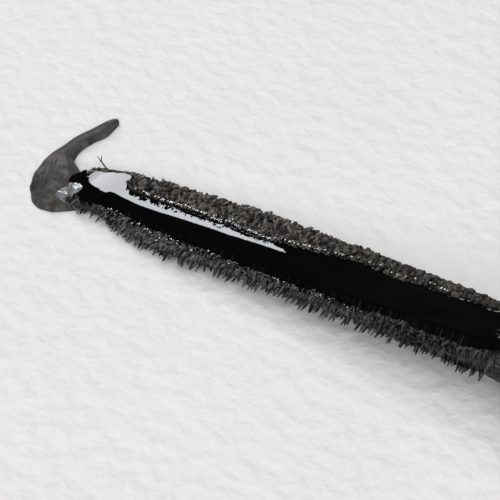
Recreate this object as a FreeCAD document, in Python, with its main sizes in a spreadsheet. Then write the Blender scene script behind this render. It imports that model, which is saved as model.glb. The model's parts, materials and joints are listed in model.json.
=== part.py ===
"""Cartridge brush pen lying on a table with its cap posted and its wet tuft bent on to the paper.

Every turned piece is drawn in the pen's own frame: X is the station along the pen's axis, from the nozzle's
mouth towards the tail, and the radius is square to it. PEN then lays the pen down: the nose drops until the
barrel's lower flat, whose distance from the axis grows by line_slope, lies flat on the table.
"""
import FreeCAD
import Part
import math
import os
import re
import Sketcher
from FreeCAD import Placement, Rotation, Vector

SIZES = {
    # The resting line: the body's radius below the nozzle's mouth, and how much it grows for each millimetre.
    "line_radius": 3.7, "line_slope": 0.03, "origin_station": 56.9,
    # Stations of the outside, from the nozzle's mouth.
    "nozzle_end": 8, "section_end": 24, "barrel_mouth": 25.2, "shoulder": 70, "post_end": 98,
    "cap_mouth": 70.15, "cap_widest": 92, "cap_end": 140, "corner_growth": 0.72,
    # Tuft root, its binding thread and the ferrule round it.
    "ferrule_front": -1.2, "ferrule_rear": 6.4, "ferrule_radius": 2.05, "ferrule_bore": 1.82,
    "root_front": -0.9, "root_rear": 6.3, "root_radius": 1.8, "waist_front": 3.2, "waist_rear": 5,
    "waist_radius": 1.5, "thread_radius": 0.12, "thread_pitch": 0.28, "thread_turns": 5,
    "thread_gap": 0.01,
    # Nozzle.
    "mouth_radius": 2.6, "lip_break": 0.3, "nozzle_bore": 2.07, "flare_radius": 34,
    "spigot_radius": 2.98, "spigot_end": 10.4, "wick_pass": 0.8,
    # Wick and comb feed.
    "wick_radius": 0.6, "wick_front": -0.7, "wick_rear": 26, "wick_bore": 0.63,
    "feed_front": 10.6, "feed_core": 1.5, "fin_radius": 2.93, "fin_width": 0.5, "fin_pitch": 1.1,
    "fin_count": 9, "feed_slot": 0.7, "channel_sink": 0.2,
    # Spike that opens the cartridge, and its gasket.
    "spike_front": 20.6, "spike_flange": 21.6, "spike_radius": 1.3, "spike_tip": 28.5, "spike_nose": 0.95,
    "gasket_rear": 22, "gasket_bore": 1.35, "gasket_radius": 2.9,
    # Section, its rubber sleeve and its threaded tail.
    "section_bore": 3, "sleeve_front": 10.4, "sleeve_rear": 21.6, "sleeve_bed": 3.5, "sleeve_bore": 3.52,
    "rib_count": 9, "rib_depth": 0.16, "rib_land": 0.5, "rib_gap": 0.02, "tail_radius": 3.45,
    "tail_bore": 2.75, "tail_end": 33, "tail_break": 0.3, "groove_front": 25.4, "groove_rear": 26.5,
    "groove_radius": 3.05,
    # Screw thread between the section and the barrel.
    "screw_pitch": 1.25, "screw_front": 27.4, "screw_turns": 4, "screw_crest": 3.74, "screw_root": 0.76,
    "screw_flat": 0.3, "screw_play": 0.09,
    # Spacer ring and seal.
    "ring_bore": 3.5, "seal_station": 25.95, "seal_radius": 3.49, "seal_cord": 0.39,
    # Barrel.
    "seat_radius": 3.95, "seat_end": 26.9, "nut_radius": 3.56, "nut_end": 33.4, "barrel_bore": 3.75,
    "post_radius": 4.8, "post_break": 0.4, "post_groove_front": 74, "post_groove_rear": 75,
    "post_groove_radius": 4.1, "post_ring_radius": 4.49, "post_ring_cord": 0.33,
    # Tail plug.
    "plug_front": 94, "plug_radius": 3.73, "plug_head": 4.5, "plug_rear": 99.2, "plug_break": 0.4,
    # Cartridge.
    "neck_front": 22.1, "neck_radius": 2.2, "neck_bore": 1.85, "neck_rear": 33.4, "tank_front": 35.6,
    "tank_radius": 3.35, "tank_wall": 0.45, "tank_rear": 80, "tank_break": 1,
    "stopper_radius": 1.84, "stopper_bore": 1.36, "stopper_front": 22.4, "stopper_rear": 26,
    "ink_front": 37, "ink_rear": 66, "ink_track": 1.5, "ink_gap": 0.03,
    "bead_radius": 1.25, "bead_station": 30.8,
    # Cap.
    "cap_bore": 4.85, "cap_floor": 137.2, "cap_end_radius": 5.7, "cap_end_break": 0.7, "pin_hole": 1.55,
    "band_front": 72.4, "band_rear": 74.2, "band_bed": 5.5, "band_bore": 5.52, "band_proud": 0.12,
    "liner_front": 99.4, "liner_radius": 4.84, "liner_bore": 3.9, "liner_lip": 2.95, "liner_lip_length": 0.9,
    "liner_rear": 136.9, "liner_wall": 0.8,
    # Clip and finial.
    "clip_ring_radius": 4.6, "clip_thickness": 0.7, "clip_width": 3.4, "clip_gap": 0.06, "clip_top": 7.8,
    "clip_bend": 1.3, "clip_tip_station": 106, "clip_tip_top": 7.67, "clip_ball": 0.75,
    "clip_ball_station": 107.2, "clip_ball_sink": 0.1, "pin_radius": 1.5, "pin_front": 136.95,
    "finial_radius": 4.4, "finial_edge": 0.9, "finial_rise": 1.5,
    # Tuft: its radius in the ferrule, how far ahead of the mouth it bends and its hook starts, and its height
    # over the table.
    "tuft_root_radius": 1.75, "tuft_pivot": 3.2, "tuft_end": 26.4, "tuft_lift": 0.06,
}

doc = FreeCAD.newDocument("BrushPen")
sheet = doc.addObject("Spreadsheet::Sheet", "Sheet")
for row, (alias, value) in enumerate(SIZES.items(), start=1):
    sheet.set(f"A{row}", alias)
    sheet.set(f"B{row}", str(value))
    sheet.setAlias(f"B{row}", alias)
doc.recompute()

PARTS = []
TILT = math.atan(SIZES["line_slope"])
FLOOR_RADIUS = SIZES["line_radius"] + SIZES["line_slope"] * SIZES["origin_station"]
PEN = Placement(
    Vector(
        -SIZES["origin_station"] * math.cos(TILT) - FLOOR_RADIUS * math.sin(TILT),
        0,
        SIZES["line_radius"] * math.cos(TILT),
    ),
    Rotation(Vector(0, 1, 0), -math.degrees(TILT)),
)
QUARTER_TURN = Placement(Vector(0, 0, 0), Rotation(Vector(0, 1, 0), 90))
ORIGIN = (-1, 1)
SPARE_CELL = "D1"


def cells(text):
    """The expression with the sheet's name put before each alias in it."""
    return re.sub(r"[a-z][a-z_]*[a-z]", lambda word: "Sheet." + word.group(0), str(text))


def number(text):
    """The value of an expression, worked out in a spare cell of the sheet."""
    sheet.set(SPARE_CELL, f"={text}")
    sheet.recompute()
    return float(sheet.get(SPARE_CELL))


def line(station):
    """The resting line's distance from the axis at a station."""
    return f"(line_radius + line_slope * ({station}))"


def keep(piece, label):
    """Names a finished piece, lays it down with the pen and lists it for export."""
    piece.Label = label
    piece.Placement = PEN.multiply(piece.Placement)
    PARTS.append(piece)
    return piece


def plane_of(body, role):
    """One of the body's own origin planes or axes."""
    return next(feature for feature in body.Origin.OriginFeatures if feature.Role == role)


def new_sketch(body, name, role):
    sketch = body.newObject("Sketcher::SketchObject", name)
    sketch.AttachmentSupport = [(plane_of(body, role), "")]
    sketch.MapMode = "FlatFace"
    return sketch


def arc_between(start, end, radius, left):
    """A counter-clockwise sketch arc between two points. left puts its centre left of the way to end."""
    middle, way = (start + end) * 0.5, end - start
    rise = math.sqrt(radius**2 - (way.Length / 2) ** 2)
    normal = Vector(-way.y, way.x, 0).normalize()
    centre = middle + normal * (rise if left else -rise)
    first, last = (start, end) if left else (end, start)
    angles = [math.atan2(p.y - centre.y, p.x - centre.x) for p in (first, last)]
    if angles[1] < angles[0]:
        angles[1] += 2 * math.pi
    return Part.ArcOfCircle(Part.Circle(centre, Vector(0, 0, 1), radius), *angles)


def outline(sketch, points):
    """A closed outline whose corners are bound to the sheet. A corner's third value is the radius of the arc
    that ends there."""
    spots = [Vector(number(p[0]), number(p[1]), 0) for p in points]
    ends = []
    for i, point in enumerate(points):
        start, end = spots[i - 1], spots[i]
        if len(point) > 2:
            left = point[3] == "left"
            edge = sketch.addGeometry(arc_between(start, end, number(point[2]), left))
            ends.append((edge, 1, 2) if left else (edge, 2, 1))
            bound = sketch.addConstraint(Sketcher.Constraint("Radius", edge, number(point[2])))
            sketch.setExpression(f"Constraints[{bound}]", cells(point[2]))
        else:
            edge = sketch.addGeometry(Part.LineSegment(start, end))
            ends.append((edge, 1, 2))
    for i, (edge, _, finish) in enumerate(ends):
        following = ends[(i + 1) % len(ends)]
        sketch.addConstraint(Sketcher.Constraint("Coincident", edge, finish, following[0], following[1]))
        for kind, text, value in (
            ("DistanceX", points[i][0], spots[i].x),
            ("DistanceY", points[i][1], spots[i].y),
        ):
            bound = sketch.addConstraint(Sketcher.Constraint(kind, *ORIGIN, edge, finish, value))
            sketch.setExpression(f"Constraints[{bound}]", cells(text))


def turned_body(name, points):
    """A body turned about the pen's axis from the outline of its half section."""
    body = doc.addObject("PartDesign::Body", name)
    sketch = new_sketch(body, name + "_section", "XY_Plane")
    outline(sketch, points)
    revolve = body.newObject("PartDesign::Revolution", name + "_turned")
    revolve.Profile = sketch
    revolve.ReferenceAxis = (sketch, ["H_Axis"])
    revolve.Angle = 360
    doc.recompute()
    return body


def turned(label, points):
    return keep(turned_body(label, points), label)


def cut_flats(body, line_points):
    """Cuts six flats round a turned body: line_points is the outline above the flat, and goes through it."""
    sketch = new_sketch(body, body.Name + "_flat", "XZ_Plane")
    outline(sketch, line_points)
    pocket = body.newObject("PartDesign::Pocket", body.Name + "_pocket")
    pocket.Profile = sketch
    pocket.Midplane = True
    pocket.setExpression("Length", cells("6 * line_radius"))
    doc.recompute()
    before = body.Shape.Volume
    pattern = body.newObject("PartDesign::PolarPattern", body.Name + "_flats")
    pattern.Originals = [pocket]
    pattern.Axis = (plane_of(body, "X_Axis"), [""])
    pattern.Angle = 360
    pattern.Occurrences = 6
    body.Tip = pattern
    doc.recompute()
    if body.Shape.Volume >= before:
        raise RuntimeError(f"{body.Name}: the flats cut nothing")


def helix(body, kind, points, turns):
    """Adds or cuts a right-handed screw ridge whose section is the outline in points."""
    sketch = new_sketch(body, body.Name + "_ridge", "XY_Plane")
    outline(sketch, points)
    ridge = body.newObject(f"PartDesign::{kind}Helix", body.Name + "_screw")
    ridge.Profile = sketch
    ridge.ReferenceAxis = (sketch, ["H_Axis"])
    ridge.Mode = "pitch-turns-angle"
    ridge.setExpression("Pitch", cells("screw_pitch"))
    ridge.Turns = turns
    doc.recompute()
    return ridge


def screw_section(station, play):
    """Half section of the screw ridge at a station, grown all round by play."""
    half_root, half_flat = "screw_root / 2", "screw_flat / 2"
    foot = "tail_radius - screw_flat / 2"
    return [
        (f"{station} - {half_root} - {play}", foot),
        (f"{station} + {half_root} + {play}", foot),
        (f"{station} + {half_flat} + {play}", f"screw_crest + {play}"),
        (f"{station} - {half_flat} - {play}", f"screw_crest + {play}"),
    ]


def ring(label, radius, cord, station):
    """A round-section ring lying square to the axis."""
    piece = doc.addObject("Part::Torus", label)
    piece.setExpression("Radius1", cells(radius))
    piece.setExpression("Radius2", cells(cord))
    piece.Placement = Placement(Vector(number(station), 0, 0), Rotation()).multiply(QUARTER_TURN)
    return keep(piece, label)


def make_tuft_root():
    turned("ferrule", [
        ("ferrule_front", "ferrule_bore"),
        ("ferrule_front", "ferrule_radius"),
        ("ferrule_rear", "ferrule_radius"),
        ("ferrule_rear", "ferrule_bore"),
    ])
    turned("tuft_root", [
        ("root_front", "wick_bore"),
        ("root_front", "root_radius"),
        ("waist_front", "root_radius"),
        ("waist_front", "waist_radius"),
        ("waist_rear", "waist_radius"),
        ("waist_rear", "root_radius"),
        ("root_rear", "root_radius"),
        ("root_rear", "wick_bore"),
    ])
    thread = doc.addObject("Part::Feature", "root_binding")
    radius = number("waist_radius + thread_radius + thread_gap")
    first = number("(waist_front + waist_rear - thread_pitch * thread_turns) / 2")
    path = Part.makeHelix(number("thread_pitch"), number("thread_pitch * thread_turns"), radius)
    section = Part.Wire(Part.makeCircle(number("thread_radius"), Vector(radius, 0, 0), Vector(0, 1, 0)))
    thread.Shape = Part.Wire(path).makePipeShell([section], True, True)
    thread.Placement = Placement(Vector(first, 0, 0), Rotation()).multiply(QUARTER_TURN)
    keep(thread, "root_binding")
    turned("wick", [
        ("wick_front", 0),
        ("wick_front", "wick_radius"),
        ("wick_rear", "wick_radius"),
        ("wick_rear", 0),
    ])


def make_nozzle():
    turned("nozzle", [
        (0, "nozzle_bore"),
        (0, "mouth_radius - lip_break"),
        ("lip_break", "mouth_radius"),
        ("nozzle_end", line("nozzle_end"), "flare_radius", "left"),
        ("nozzle_end", "spigot_radius"),
        ("spigot_end", "spigot_radius"),
        ("spigot_end", "wick_pass"),
        ("ferrule_rear", "wick_pass"),
        ("ferrule_rear", "nozzle_bore"),
    ])


def make_feed():
    points = [("feed_front", "wick_bore")]
    for fin in range(int(SIZES["fin_count"])):
        start = f"feed_front + fin_pitch * {fin}"
        points += [
            (start, "fin_radius"),
            (f"{start} + fin_width", "fin_radius"),
            (f"{start} + fin_width", "feed_core"),
            (f"{start} + fin_pitch", "feed_core"),
        ]
    points[-1] = (points[-1][0], "feed_core")
    points.append((points[-1][0], "wick_bore"))
    body = turned_body("comb_feed", points)
    sketch = new_sketch(body, "air_channel", "XY_Plane")
    outline(sketch, [
        ("feed_front - fin_width", "-feed_slot / 2"),
        ("spike_front", "-feed_slot / 2"),
        ("spike_front", "feed_slot / 2"),
        ("feed_front - fin_width", "feed_slot / 2"),
    ])
    channel = body.newObject("PartDesign::Pocket", "air_channel_cut")
    channel.Profile = sketch
    channel.setExpression("Length", cells("fin_radius * 2"))
    height = number("feed_core + fin_radius * 2 - channel_sink")
    sketch.AttachmentOffset = Placement(Vector(0, 0, height), Rotation())
    before = body.Shape.Volume
    doc.recompute()
    if body.Shape.Volume >= before:
        raise RuntimeError("the air channel cuts nothing")
    keep(body, "comb_feed")
    turned("cartridge_spike", [
        ("spike_front", "wick_bore"),
        ("spike_front", "fin_radius"),
        ("spike_flange", "fin_radius"),
        ("spike_flange", "spike_radius"),
        ("spike_tip - spike_nose", "spike_radius"),
        ("spike_tip", "spike_nose"),
        ("spike_tip", "wick_bore"),
    ])
    turned("spike_gasket", [
        ("spike_flange", "gasket_bore"),
        ("spike_flange", "gasket_radius"),
        ("gasket_rear", "gasket_radius"),
        ("gasket_rear", "gasket_bore"),
    ])


def make_section():
    body = turned_body("section_shell", [
        ("nozzle_end", "section_bore"),
        ("nozzle_end", line("nozzle_end")),
        ("sleeve_front", line("sleeve_front")),
        ("sleeve_front", "sleeve_bed"),
        ("sleeve_rear", "sleeve_bed"),
        ("sleeve_rear", line("sleeve_rear")),
        ("section_end", line("section_end")),
        ("section_end", "tail_radius"),
        ("groove_front", "tail_radius"),
        ("groove_front", "groove_radius"),
        ("groove_rear", "groove_radius"),
        ("groove_rear", "tail_radius"),
        ("tail_end - tail_break", "tail_radius"),
        ("tail_end", "tail_radius - tail_break"),
        ("tail_end", "tail_bore"),
        ("gasket_rear", "tail_bore"),
        ("gasket_rear", "section_bore"),
    ])
    helix(body, "Additive", screw_section("screw_front", "0"), SIZES["screw_turns"])
    keep(body, "section_shell")
    pitch = "(sleeve_rear - sleeve_front) / rib_count"
    points = [("sleeve_front", "sleeve_bore")]
    for rib in range(int(SIZES["rib_count"])):
        start = f"sleeve_front + {pitch} * {rib}"
        for offset, drop in (
            ("rib_gap", "rib_depth"),
            ("rib_depth", "0"),
            ("rib_land", "0"),
            ("rib_land + rib_depth", "rib_depth"),
        ):
            station = f"{start} + {offset}"
            points.append((station, f"{line(station)} - {drop}"))
    points += [("sleeve_rear", line("sleeve_rear") + " - rib_depth"), ("sleeve_rear", "sleeve_bore")]
    points[1] = ("sleeve_front", points[1][1])
    turned("grip_sleeve", points)


def make_seals():
    turned("spacer_ring", [
        ("section_end", "ring_bore"),
        ("section_end", line("section_end")),
        ("barrel_mouth", line("barrel_mouth")),
        ("barrel_mouth", "ring_bore"),
    ])
    ring("o_ring", "seal_radius", "seal_cord", "seal_station")


def make_barrel():
    body = turned_body("barrel_shell", [
        ("barrel_mouth", "seat_radius"),
        ("barrel_mouth", line("barrel_mouth")),
        ("shoulder", line("shoulder") + " + corner_growth"),
        ("shoulder", "post_radius"),
        ("post_groove_front", "post_radius"),
        ("post_groove_front", "post_groove_radius"),
        ("post_groove_rear", "post_groove_radius"),
        ("post_groove_rear", "post_radius"),
        ("post_end - post_break", "post_radius"),
        ("post_end", "post_radius - post_break"),
        ("post_end", "barrel_bore"),
        ("nut_end", "barrel_bore"),
        ("nut_end", "nut_radius"),
        ("seat_end", "nut_radius"),
        ("seat_end", "seat_radius"),
    ])
    cut_flats(body, [
        ("barrel_mouth", line("barrel_mouth")),
        ("shoulder", line("shoulder")),
        ("shoulder", "3 * line_radius"),
        ("barrel_mouth", "3 * line_radius"),
    ])
    start = "(screw_front - screw_pitch)"
    helix(body, "Subtractive", screw_section(start, "screw_play"), SIZES["screw_turns"] + 2)
    keep(body, "barrel_shell")
    ring("post_ring", "post_ring_radius", "post_ring_cord", "(post_groove_front + post_groove_rear) / 2")
    turned("tail_plug", [
        ("plug_front", 0),
        ("plug_front", "plug_radius"),
        ("post_end", "plug_radius"),
        ("post_end", "plug_head"),
        ("plug_rear - plug_break", "plug_head"),
        ("plug_rear", "plug_head - plug_break"),
        ("plug_rear", 0),
    ])


def make_cartridge():
    turned("cartridge_body", [
        ("neck_front", "neck_bore"),
        ("neck_front", "neck_radius"),
        ("neck_rear", "neck_radius"),
        ("tank_front", "tank_radius"),
        ("tank_rear - tank_break", "tank_radius"),
        ("tank_rear", "tank_radius - tank_break"),
        ("tank_rear", 0),
        ("tank_rear - tank_wall", 0),
        ("tank_rear - tank_wall", "tank_radius - tank_wall - tank_break"),
        ("tank_rear - tank_wall - tank_break", "tank_radius - tank_wall"),
        ("tank_front", "tank_radius - tank_wall"),
        ("neck_rear", "neck_bore"),
    ])
    turned("cartridge_stopper", [
        ("stopper_front", "stopper_bore"),
        ("stopper_front", "stopper_radius"),
        ("stopper_rear", "stopper_radius"),
        ("stopper_rear", "stopper_bore"),
    ])
    turned("ink_charge", [
        ("ink_front", "ink_track"),
        ("ink_front", "tank_radius - tank_wall - ink_gap"),
        ("ink_rear", "tank_radius - tank_wall - ink_gap"),
        ("ink_rear", "ink_track"),
    ])
    bead = doc.addObject("Part::Sphere", "agitator_ball")
    bead.setExpression("Radius", cells("bead_radius"))
    bead.Placement = Placement(Vector(number("bead_station"), 0, 0), Rotation())
    keep(bead, "agitator_ball")


def cap_flats():
    """The outline above the cap's flat: it follows the resting line to the widest station, then closes in."""
    return [
        ("cap_mouth - 1", line("cap_mouth - 1")),
        ("cap_widest", line("cap_widest")),
        ("cap_end + 1", "cap_end_radius"),
        ("cap_end + 1", "3 * line_radius"),
        ("cap_mouth - 1", "3 * line_radius"),
    ]


def make_cap():
    corner = "+ corner_growth"
    body = turned_body("cap_shell", [
        ("cap_mouth", "cap_bore"),
        ("cap_mouth", f"{line('cap_mouth')} {corner}"),
        ("band_front", f"{line('band_front')} {corner}"),
        ("band_front", "band_bed"),
        ("band_rear", "band_bed"),
        ("band_rear", f"{line('band_rear')} {corner}"),
        ("cap_widest", f"{line('cap_widest')} {corner}"),
        ("cap_end - cap_end_break", "cap_end_radius + cap_end_break / 2"),
        ("cap_end", "cap_end_radius - cap_end_break / 2", "cap_end_break", "right"),
        ("cap_end", "pin_hole"),
        ("cap_floor", "pin_hole"),
        ("cap_floor", "cap_bore"),
    ])
    cut_flats(body, cap_flats())
    keep(body, "cap_shell")
    band = turned_body("cap_band", [
        ("band_front", "band_bore"),
        ("band_front", f"{line('band_front')} {corner} + band_proud"),
        ("band_rear", f"{line('band_rear')} {corner} + band_proud"),
        ("band_rear", "band_bore"),
    ])
    cut_flats(band, cap_flats())
    keep(band, "cap_band")
    turned("cap_liner", [
        ("liner_front", "liner_lip"),
        ("liner_front", "liner_radius"),
        ("liner_rear", "liner_radius"),
        ("liner_rear", 0),
        ("liner_rear - liner_wall", 0),
        ("liner_rear - liner_wall", "liner_bore"),
        ("liner_front + liner_lip_length", "liner_bore"),
    ])


def make_clip():
    turned("clip_ring", [
        ("cap_end", "pin_hole"),
        ("cap_end", "clip_ring_radius"),
        ("cap_end + clip_thickness", "clip_ring_radius"),
        ("cap_end + clip_thickness", "pin_hole"),
    ])
    body = doc.addObject("PartDesign::Body", "clip_strip")
    side = new_sketch(body, "clip_side", "XZ_Plane")
    outline(side, [
        ("cap_end", "clip_ring_radius + clip_gap"),
        ("cap_end + clip_thickness", "clip_ring_radius + clip_gap"),
        ("cap_end + clip_thickness", "clip_top - clip_bend"),
        ("cap_end + clip_thickness - clip_bend", "clip_top", "clip_bend", "left"),
        ("clip_tip_station", "clip_tip_top"),
        ("clip_tip_station", "clip_tip_top - clip_thickness"),
        ("cap_end + clip_thickness - clip_bend", "clip_top - clip_thickness"),
        ("cap_end", "clip_top - clip_bend", "clip_bend - clip_thickness", "right"),
    ])
    arm = body.newObject("PartDesign::Pad", "clip_pad")
    arm.Profile = side
    arm.Midplane = True
    arm.setExpression("Length", cells("clip_width"))
    doc.recompute()
    ball = doc.addObject("Part::Sphere", "clip_ball")
    ball.setExpression("Radius", cells("clip_ball"))
    height = number("clip_tip_top - clip_thickness + clip_ball_sink")
    ball.Placement = Placement(Vector(number("clip_ball_station"), 0, height), Rotation())
    joined = doc.addObject("Part::Fuse", "clip_joined")
    joined.Base, joined.Tool = body, ball
    doc.recompute()
    keep(joined, "clip_arm")
    dome = "(finial_radius ^ 2 + finial_rise ^ 2) / (2 * finial_rise)"
    turned("finial", [
        ("pin_front", 0),
        ("pin_front", "pin_radius"),
        ("cap_end + clip_thickness", "pin_radius"),
        ("cap_end + clip_thickness", "finial_radius"),
        ("cap_end + clip_thickness + finial_edge", "finial_radius"),
        ("cap_end + clip_thickness + finial_edge + finial_rise", 0, dome, "right"),
    ])


def ellipse(centre, along, half_width, half_height):
    """An upright ellipse square to the level direction along."""
    side = Vector(-along.y, along.x, 0).normalize()
    up = Vector(0, 0, 1)
    if half_width == half_height:
        curve = Part.Circle(centre, side.cross(up), half_width)
    elif half_width > half_height:
        curve = Part.Ellipse(centre + side * half_width, centre + up * half_height, centre)
    else:
        curve = Part.Ellipse(centre + up * half_height, centre + side * half_width, centre)
    return Part.Wire(curve.toShape())


def make_tuft():
    """The free hair as one soft solid. It leaves the nozzle's axis, comes down on to the table and flattens
    there, and its tip turns a right angle to +Y. Its places are on the table, in the row's own frame."""
    mouth = PEN.multVec(Vector(0, 0, 0))
    lift = number("tuft_lift")
    root = number("tuft_root_radius")
    pivot = number("tuft_pivot")
    centre = Vector(mouth.x - pivot, 0, mouth.z - number("line_slope") * pivot)
    body = Part.makeLoft([
        ellipse(Vector(mouth.x - forward, 0, height), Vector(-1, 0, 0), half_width, half_height)
        for forward, height, half_width, half_height in (
            (pivot, centre.z, root, root),
            (6, 3.1, 1.95, 1.5),
            (10, 2.5, 2.05, 1.3),
            (15, 1.8, 2.15, 1.1),
            (20, 1.1 + lift, 2.25, 0.95),
            (24, 0.8 + lift, 2.0, 0.8),
            (number("tuft_end") + 1, 0.65 + lift, 1.5, 0.65),
        )
    ], True, False)
    end = mouth.x - number("tuft_end")
    tip = Part.makeLoft([
        ellipse(Vector(end - ahead, across, height + lift), Vector(turn, 1, 0), half_width, height)
        for ahead, across, turn, half_width, height in (
            (0.6, -2.3, -0.7, 0.5, 0.35),
            (1.0, -1.4, -0.35, 0.95, 0.55),
            (1.5, 0.0, -0.15, 1.0, 0.65),
            (1.75, 1.7, 0.0, 0.75, 0.55),
            (1.4, 3.7, 0.2, 0.55, 0.42),
            (0.75, 5.7, 0.35, 0.3, 0.25),
        )
    ], True, False)
    base = Part.makeSphere(root, centre)
    tuft = doc.addObject("Part::Feature", "tuft")
    tuft.Shape = body.fuse([tip, base]).removeSplitter()
    tuft.Label = "tuft"
    PARTS.append(tuft)


def main():
    make_tuft_root()
    make_nozzle()
    make_feed()
    make_section()
    make_seals()
    make_barrel()
    make_cartridge()
    make_cap()
    make_clip()
    make_tuft()
    sheet.clear(SPARE_CELL)
    doc.recompute()
    for item in doc.Objects:
        if "Invalid" in item.State or "Error" in item.State:
            raise RuntimeError(f"{item.Name} failed: {item.State}")
    os.makedirs("parts", exist_ok=True)
    for piece in PARTS:
        shape = piece.Shape
        if shape.isNull() or not shape.isValid() or not shape.Solids:
            raise RuntimeError(f"{piece.Label} has no valid solid")
        shape.exportStep(f"parts/{piece.Label}.step")
        print(f"{piece.Label}: {len(shape.Solids)} solids, {shape.Volume:.2f} mm3")


main()
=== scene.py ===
"""Looks of the brush pen: its wet tuft, modelled hair by hair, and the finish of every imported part.

Lengths of the tuft are in millimetres: forward is the distance from the nozzle's mouth towards the tip,
across runs along the frame's +Y, and up is the height over the table. place() turns them into the
frame's metres.
"""

import json
import math
import random

import bpy
import numpy as np
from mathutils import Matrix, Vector, noise


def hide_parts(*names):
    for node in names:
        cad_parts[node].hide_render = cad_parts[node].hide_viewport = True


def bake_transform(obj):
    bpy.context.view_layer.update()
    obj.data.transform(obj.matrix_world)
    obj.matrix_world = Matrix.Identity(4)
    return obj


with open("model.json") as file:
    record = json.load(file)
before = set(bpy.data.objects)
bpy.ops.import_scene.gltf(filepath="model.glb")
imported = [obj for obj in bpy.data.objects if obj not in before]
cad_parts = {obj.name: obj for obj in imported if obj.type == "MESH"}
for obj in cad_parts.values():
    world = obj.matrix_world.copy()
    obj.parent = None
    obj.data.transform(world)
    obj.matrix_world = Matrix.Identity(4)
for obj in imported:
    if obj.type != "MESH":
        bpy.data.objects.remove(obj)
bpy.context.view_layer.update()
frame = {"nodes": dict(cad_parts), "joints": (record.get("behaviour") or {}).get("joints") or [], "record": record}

MM = 0.001
JOINTS = {joint["name"]: joint for joint in frame["joints"]}
MOUTH = Vector(JOINTS["section_turn"]["pos_m"])
RNG = random.Random(7)  # every random draw of the script comes from here, in a fixed order


# ---------------------------------------------------------------- node helpers

def add(tree, kind, inputs=None, **settings):
    """A shader node. inputs maps socket names or numbers to values or to other nodes' outputs."""
    node = tree.nodes.new("ShaderNode" + kind)
    for name, value in settings.items():
        setattr(node, name, value)
    for key, value in (inputs or {}).items():
        if isinstance(value, bpy.types.NodeSocket):
            tree.links.new(value, node.inputs[key])
        else:
            node.inputs[key].default_value = value
    return node


def new_material(name):
    """An empty material, and its node tree."""
    material = bpy.data.materials.new(name)
    material.use_nodes = True
    material.node_tree.nodes.clear()
    return material, material.node_tree


def millimetres(tree, stretch=(1, 1, 1)):
    """Object coordinates in millimetres, squeezed along each axis by stretch."""
    coordinates = add(tree, "TexCoord").outputs["Object"]
    scale = tuple(s / MM for s in stretch)
    return add(tree, "Mapping", {"Vector": coordinates, "Scale": scale}).outputs["Vector"]


def noise_value(tree, vector, scale, detail=3.0, roughness=0.55):
    """Noise from 0 to 1, with scale patches to the vector's unit."""
    inputs = {"Vector": vector, "Scale": scale, "Detail": detail, "Roughness": roughness}
    return add(tree, "TexNoise", inputs).outputs["Fac"]


def ramp(tree, value, low, high, start, end):
    """value from low..high mapped on to start..end."""
    inputs = {"Value": value, 1: low, 2: high, 3: start, 4: end}
    return add(tree, "MapRange", inputs).outputs["Result"]


def blend_colours(tree, value, first, second):
    """The first colour where value is 0, and the second where it is 1."""
    inputs = {0: value, 6: (*first, 1), 7: (*second, 1)}
    return add(tree, "Mix", inputs, data_type="RGBA").outputs[2]


def bump(tree, height, strength, distance):
    """A normal bent by height, whose full relief is distance millimetres."""
    inputs = {"Height": height, "Strength": strength, "Distance": distance * MM}
    return add(tree, "Bump", inputs).outputs["Normal"]


def finish_material(tree, inputs):
    """Puts a principled shader with these inputs at the material's output."""
    shader = add(tree, "BsdfPrincipled", inputs)
    add(tree, "OutputMaterial", {"Surface": shader.outputs[0]})


def surface(name, dark, light, grain, rough, relief, stretch=(1, 1, 1), **extra):
    """A finish whose colour drifts between dark and light over wide patches. Its grain, in millimetres,
    also sets the roughness, between the two values of rough, and the relief, in millimetres. extra goes
    to the shader's inputs of those names, with _ for each space."""
    material, tree = new_material(name)
    patches = noise_value(tree, millimetres(tree), 0.35, 4.0)
    fine = noise_value(tree, millimetres(tree, stretch), 1 / grain, 4.0)
    drift = add(tree, "Math", {0: patches, 1: fine}, operation="MULTIPLY").outputs[0]
    inputs = {
        "Base Color": blend_colours(tree, ramp(tree, drift, 0.12, 0.42, 0, 1), dark, light),
        "Roughness": ramp(tree, fine, 0.3, 0.7, *rough),
        "Normal": bump(tree, fine, 1.0, relief),
    }
    inputs.update({key.replace("_", " "): value for key, value in extra.items()})
    finish_material(tree, inputs)
    return material


# ---------------------------------------------------------------- materials

def lacquer(name):
    """Polished black resin with faint smears, hairline scratches round it and a few dust specks."""
    material, tree = new_material(name)
    smear = noise_value(tree, millimetres(tree, (0.25, 1, 1)), 0.22, 5.0)
    scratch = noise_value(tree, millimetres(tree, (6, 0.4, 0.4)), 1.6, 2.0)
    dust = noise_value(tree, millimetres(tree), 5.5, 1.0)
    specks = ramp(tree, dust, 0.74, 0.78, 0, 1)
    satin = ramp(tree, smear, 0.35, 0.7, 0.16, 0.3)
    finish_material(tree, {
        "Base Color": blend_colours(tree, specks, (0.010, 0.010, 0.011), (0.05, 0.05, 0.048)),
        "Roughness": add(tree, "Math", {0: satin, 1: specks}, operation="ADD").outputs[0],
        "Normal": bump(tree, scratch, 0.25, 0.004),
        "Coat Weight": 0.8,
        "Coat Roughness": 0.05,
        "IOR": 1.5,
    })
    return material


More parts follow.
